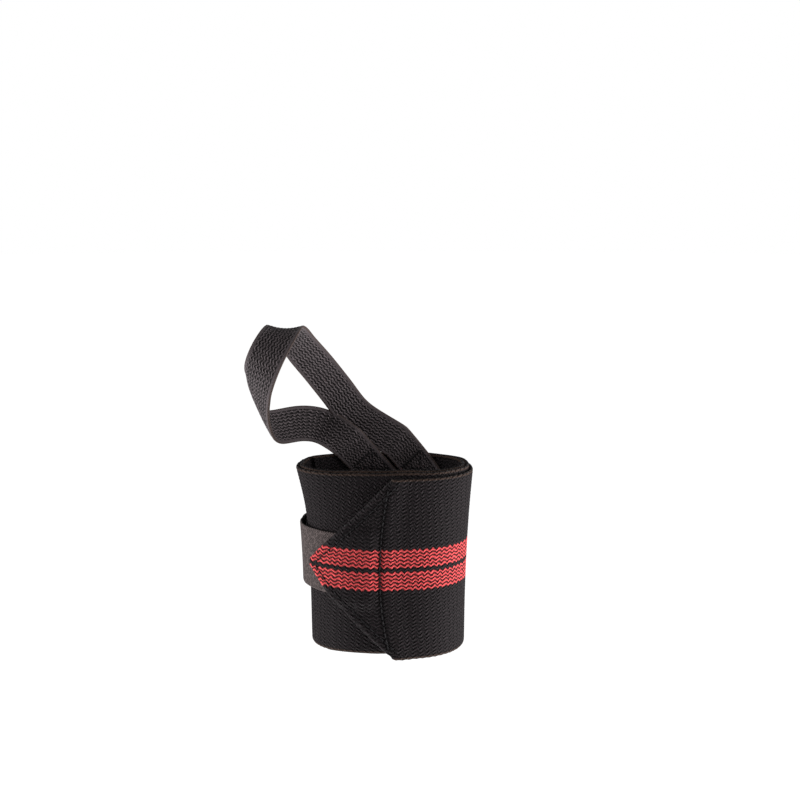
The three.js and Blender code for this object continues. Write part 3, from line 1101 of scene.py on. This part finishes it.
def knit_group():
    """Wavy knitted ribs. Ridge is high on a rib, Lean on the crests of its slanted yarns, and
    Yarn is near 1 on a yarn and near 0 in the gaps. Row numbers the ribs from the middle of the
    cloth. The yarns are a little uneven, along and across the ribs."""
    uneven_along, uneven_across = 0.0022, 0.0008
    yarn_contrast = 0.45
    name = "knitted_ribs"
    if name in bpy.data.node_groups:
        return bpy.data.node_groups[name]
    tree = bpy.data.node_groups.new(name, "ShaderNodeTree")
    tree.interface.new_socket("Cloth", in_out="INPUT", socket_type="NodeSocketVector")
    for item in ("Rib pitch", "Wave length", "Wave height"):
        tree.interface.new_socket(item, in_out="INPUT", socket_type="NodeSocketFloat")
    for item in ("Ridge", "Lean", "Yarn", "Row"):
        tree.interface.new_socket(item, in_out="OUTPUT", socket_type="NodeSocketFloat")
    shade = Shade(tree)
    given = shade.node("NodeGroupInput").outputs
    cloth_along, cloth_across = shade.split(given["Cloth"])
    uneven = shade.math("SUBTRACT", shade.noise(given["Cloth"], 210.0), 0.5)
    astray = shade.math("SUBTRACT", shade.noise(given["Cloth"], 470.0), 0.5)
    along = shade.math("ADD", cloth_along, shade.math("MULTIPLY", uneven, uneven_along))
    across = shade.math("ADD", cloth_across, shade.math("MULTIPLY", astray, uneven_across))
    turns = shade.math("DIVIDE", along, given["Wave length"])
    angle = shade.math("MULTIPLY", turns, 2 * math.pi)
    wave = shade.math("MULTIPLY", shade.math("SINE", angle), given["Wave height"])
    rows = shade.math("DIVIDE", shade.math("ADD", across, wave), given["Rib pitch"])
    on_rib = shade.math("COSINE", shade.math("MULTIPLY", rows, 2 * math.pi))
    ridge = shade.math("MULTIPLY_ADD", on_rib, 0.5, 0.5)
    # Yarns pass from rib to rib: the surface leans with the wave on a rib, against it between.
    leaning = shade.math("MULTIPLY", on_rib, shade.math("SINE", angle))
    lean = shade.math("MULTIPLY_ADD", leaning, 0.5, 0.5)
    # The materials paint highlights on the rib crests and shade in the gaps from Yarn.
    yarn = shade.math("MULTIPLY_ADD", on_rib, yarn_contrast, 0.5)
    end = shade.node("NodeGroupOutput").inputs
    shade.feed(end["Ridge"], ridge)
    shade.feed(end["Lean"], lean)
    shade.feed(end["Yarn"], yarn)
    shade.feed(end["Row"], shade.math("ROUND", rows))
    return tree


def cloth_material(name, roughness, sheen):
    """A new cloth material, its shader and its UV place."""
    material = bpy.data.materials.new(name)
    material.use_nodes = True
    shade = Shade(material.node_tree)
    shader = material.node_tree.nodes["Principled BSDF"]
    shader.inputs["Roughness"].default_value = roughness
    shader.inputs["Specular IOR Level"].default_value = 0.07
    shader.inputs["Sheen Weight"].default_value = sheen
    shader.inputs["Sheen Roughness"].default_value = 0.45
    cloth = shade.node("ShaderNodeUVMap", uv_map="flat_cut").outputs["UV"]
    return material, shade, shader, cloth


def surface(shade, shader, colour, height, depth):
    """Gives a shader its colour, and a relief whose lowest places are a depth down."""
    bump = shade.node("ShaderNodeBump")
    shade.feed(bump.inputs["Distance"], depth)
    shade.feed(bump.inputs["Height"], height)
    shade.feed(shader.inputs["Base Color"], colour)
    shade.feed(shader.inputs["Normal"], bump.outputs["Normal"])


def knitted(shade, cloth, knit):
    return shade.group(
        knit_group(),
        Cloth=cloth,
        Rib_pitch=knit.rib_pitch,
        Wave_length=knit.wave_length,
        Wave_height=knit.wave_height,
    )


def waves(shade, place, period):
    return shade.math("SINE", shade.math("MULTIPLY", place, 2 * math.pi / period))


def band_material(knit):
    material, shade, shader, cloth = cloth_material("ribbed_band_elastic", roughness=0.65, sheen=0.05)
    ribs = knitted(shade, cloth, knit)
    aside = shade.math("ABSOLUTE", shade.split(cloth)[1])
    # The middle rib is black, and the stripes are the ribs at each side of it.
    row = shade.math("ABSOLUTE", ribs["Row"])
    beside_middle = shade.math("GREATER_THAN", row, 0.5)
    in_stripe = shade.math("LESS_THAN", row, STRIPE_RIBS + 0.5)
    red = shade.math("MULTIPLY", beside_middle, in_stripe)
    fuzz = shade.noise(cloth, 900.0)
    mottle = shade.noise(cloth, 60.0)
    # Painted light: the rib crests get a painted highlight, lighter copies of each yarn colour, and
    # the gaps between the ribs get painted shade, darker copies.
    crest_highlight = shade.step(ribs["Yarn"], 0.45, 1.0)
    gap_shade = shade.step(ribs["Yarn"], 0.46, 0.08)
    black = shade.mix(crest_highlight, knit.black_yarn, darker(knit.black_yarn, 1.8))
    black = shade.mix(shade.math("MULTIPLY", mottle, 0.2), black, darker(knit.black_yarn, 1.6))
    black = shade.mix(gap_shade, black, darker(knit.black_yarn, 0.4))
    scarlet = shade.mix(crest_highlight, knit.red_yarn, darker(knit.red_yarn, 2.6))
    faded = shade.math("MULTIPLY", fuzz, 0.4)
    scarlet = shade.mix(faded, scarlet, FADED_RED)
    scarlet = shade.mix(gap_shade, scarlet, RED_SHADOW)
    colour = shade.mix(red, black, scarlet)
    # Painted shade: the colour darkens towards near black where the seams pull the cloth into
    # creases.
    seam_shade = shade.node("ShaderNodeAttribute", attribute_name="pulled_in").outputs["Fac"]
    colour = shade.mix(shade.math("MULTIPLY", seam_shade, 0.92), colour, darker(knit.black_yarn, 0.4))
    # The coloured line lies a little inside the edge. The cut side of the cloth is dark.
    from_edge = shade.math("SUBTRACT", HALF_BAND * MM, aside)
    outside_knit = shade.step(from_edge, 0.0012, 0.0008)
    inside_cut = shade.step(from_edge, 0.0001, 0.0004)
    line = shade.math("MULTIPLY", outside_knit, inside_cut)
    on_cut = shade.step(from_edge, 0.0005, 0.0002)
    colour = shade.mix(on_cut, colour, darker(knit.black_yarn, 0.7))
    colour = shade.mix(shade.math("MULTIPLY", line, 0.75), colour, knit.edge_yarn)
    lean = shade.math("MULTIPLY", ribs["Lean"], 0.3)
    height = shade.math("MULTIPLY_ADD", ribs["Ridge"], 0.8, lean)
    surface(shade, shader, colour, height, RIB_DEPTH)
    return material


def strap_material(knit):
    material, shade, shader, cloth = cloth_material("ribbed_strap_elastic", roughness=0.6, sheen=0.08)
    ribs = knitted(shade, cloth, knit)
    aside = shade.math("ABSOLUTE", shade.split(cloth)[1])
    middle = shade.step(aside, (STRAP_RIBS_HALF + 0.1) * MM, (STRAP_RIBS_HALF - 0.2) * MM)
    grain = shade.noise(cloth, 1400.0)
    # Painted light: the rib crests get a painted highlight, a lighter copy of the grey yarn, and the
    # gaps between the ribs get painted shade, a darker copy.
    crest_highlight = shade.step(ribs["Yarn"], 0.45, 1.0)
    yarn = shade.mix(crest_highlight, knit.grey_yarn, darker(knit.grey_yarn, 3.0))
    plain = shade.mix(grain, darker(knit.grey_yarn, 1.5), darker(knit.grey_yarn, 2.7))
    colour = shade.mix(middle, plain, yarn)
    gap_shade = shade.math("MULTIPLY", shade.step(ribs["Yarn"], 0.4, 0.05), middle)
    colour = shade.mix(gap_shade, colour, darker(knit.grey_yarn, 0.16))
    edge = shade.step(aside, (STRAP_WIDTH / 2 - 0.6) * MM, (STRAP_WIDTH / 2 - 0.3) * MM)
    colour = shade.mix(shade.math("MULTIPLY", edge, 0.8), colour, knit.edge_yarn)
    ridge = shade.math("MULTIPLY", ribs["Ridge"], middle)
    lean = shade.math("MULTIPLY", ribs["Lean"], middle)
    height = shade.math("MULTIPLY_ADD", ridge, 0.4, shade.math("MULTIPLY", lean, 0.6))
    surface(shade, shader, colour, height, RIB_DEPTH)
    return material


def hook_tape_material(settings):
    material, shade, shader, cloth = cloth_material("woven_hook_tape", roughness=0.6, sheen=0.06)
    along, across = shade.split(cloth)
    crossing = shade.math("MULTIPLY", waves(shade, along, 0.0013), waves(shade, across, 0.0011))
    weave = shade.math("MULTIPLY_ADD", crossing, 0.5, 0.5)
    grain = shade.noise(cloth, 800.0, 3.0)
    patches = shade.math("MULTIPLY", shade.noise(cloth, 90.0), 0.3)
    face = shade.mix(weave, darker(settings.hook_face, 0.35), darker(settings.hook_face, 1.5))
    face = shade.mix(shade.step(grain, 0.45, 0.62), face, darker(settings.hook_face, 1.9))
    face = shade.mix(patches, face, darker(settings.hook_face, 0.7))
    from_edge = shade.math("SUBTRACT", TAB_WIDTH / 2 * MM, shade.math("ABSOLUTE", across))
    edge = shade.step(from_edge, 0.0010, 0.0004)
    face = shade.mix(shade.math("MULTIPLY", edge, 0.5), face, darker(settings.hook_face, 1.6))
    surface(shade, shader, face, weave, 0.0003)
    return material


def hook_material(settings):
    material, shade, shader, cloth = cloth_material("moulded_hooks", roughness=0.5, sheen=0.0)
    rows = [waves(shade, place, 0.0012) for place in shade.split(cloth)]
    hooks = shade.step(shade.math("MULTIPLY", *rows), -0.2, 0.6)
    colour = shade.mix(hooks, darker(settings.hook_back, 0.6), darker(settings.hook_back, 2.0))
    surface(shade, shader, colour, hooks, 0.0005)
    return material


def loop_pile_material(settings):
    material, shade, shader, cloth = cloth_material("brushed_loop_pile", roughness=0.9, sheen=0.12)
    curls = shade.noise(cloth, 1600.0, 4.0)
    clumps = shade.noise(cloth, 260.0)
    colour = shade.mix(curls, darker(settings.pile, 0.4), darker(settings.pile, 2.0))
    colour = shade.mix(shade.math("MULTIPLY", clumps, 0.4), colour, darker(settings.pile, 2.2))
    surface(shade, shader, colour, curls, 0.0006)
    return material


def thread_material(settings):
    material = bpy.data.materials.new("sewing_thread")
    material.use_nodes = True
    shade = Shade(material.node_tree)
    shader = material.node_tree.nodes["Principled BSDF"]
    shader.inputs["Roughness"].default_value = 0.6
    shader.inputs["Specular IOR Level"].default_value = 0.1
    place = shade.node("ShaderNodeTexCoord").outputs["Object"]
    twist = shade.node("ShaderNodeTexNoise")
    shade.feed(twist.inputs["Vector"], place)
    shade.feed(twist.inputs["Scale"], 3000.0)
    dark, light = darker(settings.thread, 0.6), darker(settings.thread, 1.6)
    colour = shade.mix(twist.outputs["Fac"], dark, light)
    surface(shade, shader, colour, twist.outputs["Fac"], 0.0001)
    return material


# The stage


class Softbox(NamedTuple):
    """A soft light, with its places and size in metres and its power in watts."""

    name: str
    spot: tuple
    aim: tuple
    size: tuple
    power: float


SOFTBOXES = (
    Softbox("right_softbox", (0.86, -0.16, -0.14), (0.0, 0.0, 0.02), (0.35, 0.7), 20.5),
    Softbox("left_softbox", (-0.86, -0.18, -0.14), (0.0, 0.0, 0.03), (0.35, 0.7), 14.0),
    Softbox("top_softbox", (-0.20, -0.45, 1.00), (0.0, 0.0, 0.05), (0.7, 0.7), 3.2),
)
FLOOR_HEIGHT = -0.6
FLOOR_GLOW = 0.82
ROOM_LIGHT = 0.23
BACKGROUND_LIGHT = 1.0
CAMERA_TARGET = (5.04, 0.0, 65.4)
CAMERA_DISTANCE = 0.65
CAMERA_CLIMB = 9
SENSOR_WIDTH = 36.0
PICTURE_PIXELS = 800
MM_PER_PIXEL = 0.424


def add_floor(context):
    """A white floor that also glows a little, as the camera sees it."""
    deselect_all()
    bpy.ops.mesh.primitive_circle_add(
        vertices=96, radius=12.0, fill_type="NGON", location=(0.0, 0.0, FLOOR_HEIGHT)
    )
    floor = context.object
    floor.name = "studio_floor"
    white = bpy.data.materials.new("pale_floor")
    white.use_nodes = True
    shader = white.node_tree.nodes["Principled BSDF"]
    shader.inputs["Base Color"].default_value = (0.88, 0.88, 0.88, 1.0)
    shader.inputs["Roughness"].default_value = 1.0
    shader.inputs["Specular IOR Level"].default_value = 0.0
    shader.inputs["Emission Color"].default_value = (1.0, 1.0, 1.0, 1.0)
    shade = Shade(white.node_tree)
    seen = shade.node("ShaderNodeLightPath").outputs["Is Camera Ray"]
    shade.feed(shader.inputs["Emission Strength"], shade.math("MULTIPLY", seen, FLOOR_GLOW))
    floor.data.materials.append(white)


def add_room(context):
    """A white room, which the camera sees brighter than it lights the wrap."""
    world = bpy.data.worlds.new("studio")
    world.use_nodes = True
    shade = Shade(world.node_tree)
    background = world.node_tree.nodes["Background"]
    background.inputs["Color"].default_value = (1.0, 1.0, 1.0, 1.0)
    seen = shade.node("ShaderNodeLightPath").outputs["Is Camera Ray"]
    extra = shade.math("MULTIPLY", seen, BACKGROUND_LIGHT - ROOM_LIGHT)
    shade.feed(background.inputs["Strength"], shade.math("ADD", extra, ROOM_LIGHT))
    context.scene.world = world
    context.scene.view_settings.view_transform = "Standard"


def add_softbox(box):
    bpy.ops.object.light_add(type="AREA", location=box.spot)
    lamp = bpy.context.object
    lamp.name = box.name
    lamp.data.shape = "RECTANGLE"
    lamp.data.size, lamp.data.size_y = box.size
    lamp.data.energy = box.power
    lamp.rotation_euler = (Vector(box.aim) - Vector(box.spot)).to_track_quat("-Z", "Y").to_euler()


def add_camera(context):
    """A camera that sees the target at a known scale, from a little above."""
    target = Vector(CAMERA_TARGET) * MM
    climb = math.radians(CAMERA_CLIMB)
    view = Vector((0.0, math.cos(climb), -math.sin(climb)))
    bpy.ops.object.camera_add(location=target - view * CAMERA_DISTANCE)
    camera = context.object
    camera.name = "photo_camera"
    camera.rotation_euler = view.to_track_quat("-Z", "Y").to_euler()
    camera.data.sensor_width = SENSOR_WIDTH
    seen_width = PICTURE_PIXELS * MM_PER_PIXEL * MM
    camera.data.lens = SENSOR_WIDTH * CAMERA_DISTANCE / seen_width
    context.scene.camera = camera


class WRAP_OT_stage(bpy.types.Operator):
    """Adds the pale floor, the soft lights and the camera"""

    bl_idname = "wrap.stage"
    bl_label = "Stage"

    def execute(self, context):
        add_floor(context)
        add_room(context)
        for box in SOFTBOXES:
            add_softbox(box)
        add_camera(context)
        return {"FINISHED"}


class WRAP_PT_panel(bpy.types.Panel):
    """Lists the wrap's pieces and settings"""

    bl_label = "Wrist wrap"
    bl_idname = "WRAP_PT_panel"
    bl_space_type = "VIEW_3D"
    bl_region_type = "UI"
    bl_category = "Wrist wrap"

    def draw(self, context):
        for operator in OPERATORS:
            self.layout.operator(operator.bl_idname)
        for settings in (
            context.scene.wrap_knit,
            context.scene.wrap_strap,
            context.scene.wrap_fastening,
        ):
            box = self.layout.box()
            for name in settings.__annotations__:
                box.prop(settings, name)


OPERATORS = (
    WRAP_OT_band,
    WRAP_OT_hook_tab,
    WRAP_OT_loop_patch,
    WRAP_OT_thumb_strap,
    WRAP_OT_stitching,
    WRAP_OT_stage,
)
CLASSES = (KnitSettings, StrapSettings, FasteningSettings, *OPERATORS, WRAP_PT_panel)


def register():
    for item in CLASSES:
        bpy.utils.register_class(item)
    bpy.types.Scene.wrap_knit = PointerProperty(type=KnitSettings)
    bpy.types.Scene.wrap_strap = PointerProperty(type=StrapSettings)
    bpy.types.Scene.wrap_fastening = PointerProperty(type=FasteningSettings)


def unregister():
    del bpy.types.Scene.wrap_fastening
    del bpy.types.Scene.wrap_strap
    del bpy.types.Scene.wrap_knit
    for item in reversed(CLASSES):
        bpy.utils.unregister_class(item)


def plain(box):
    return [[float(value) for value in corner] for corner in box]


def main():
    register()
    bpy.ops.wrap.band()
    bpy.ops.wrap.hook_tab()
    bpy.ops.wrap.loop_patch()
    bpy.ops.wrap.thumb_strap()
    bpy.ops.wrap.stitching()
    bpy.ops.wrap.stage()


if __name__ == "__main__":
    main()
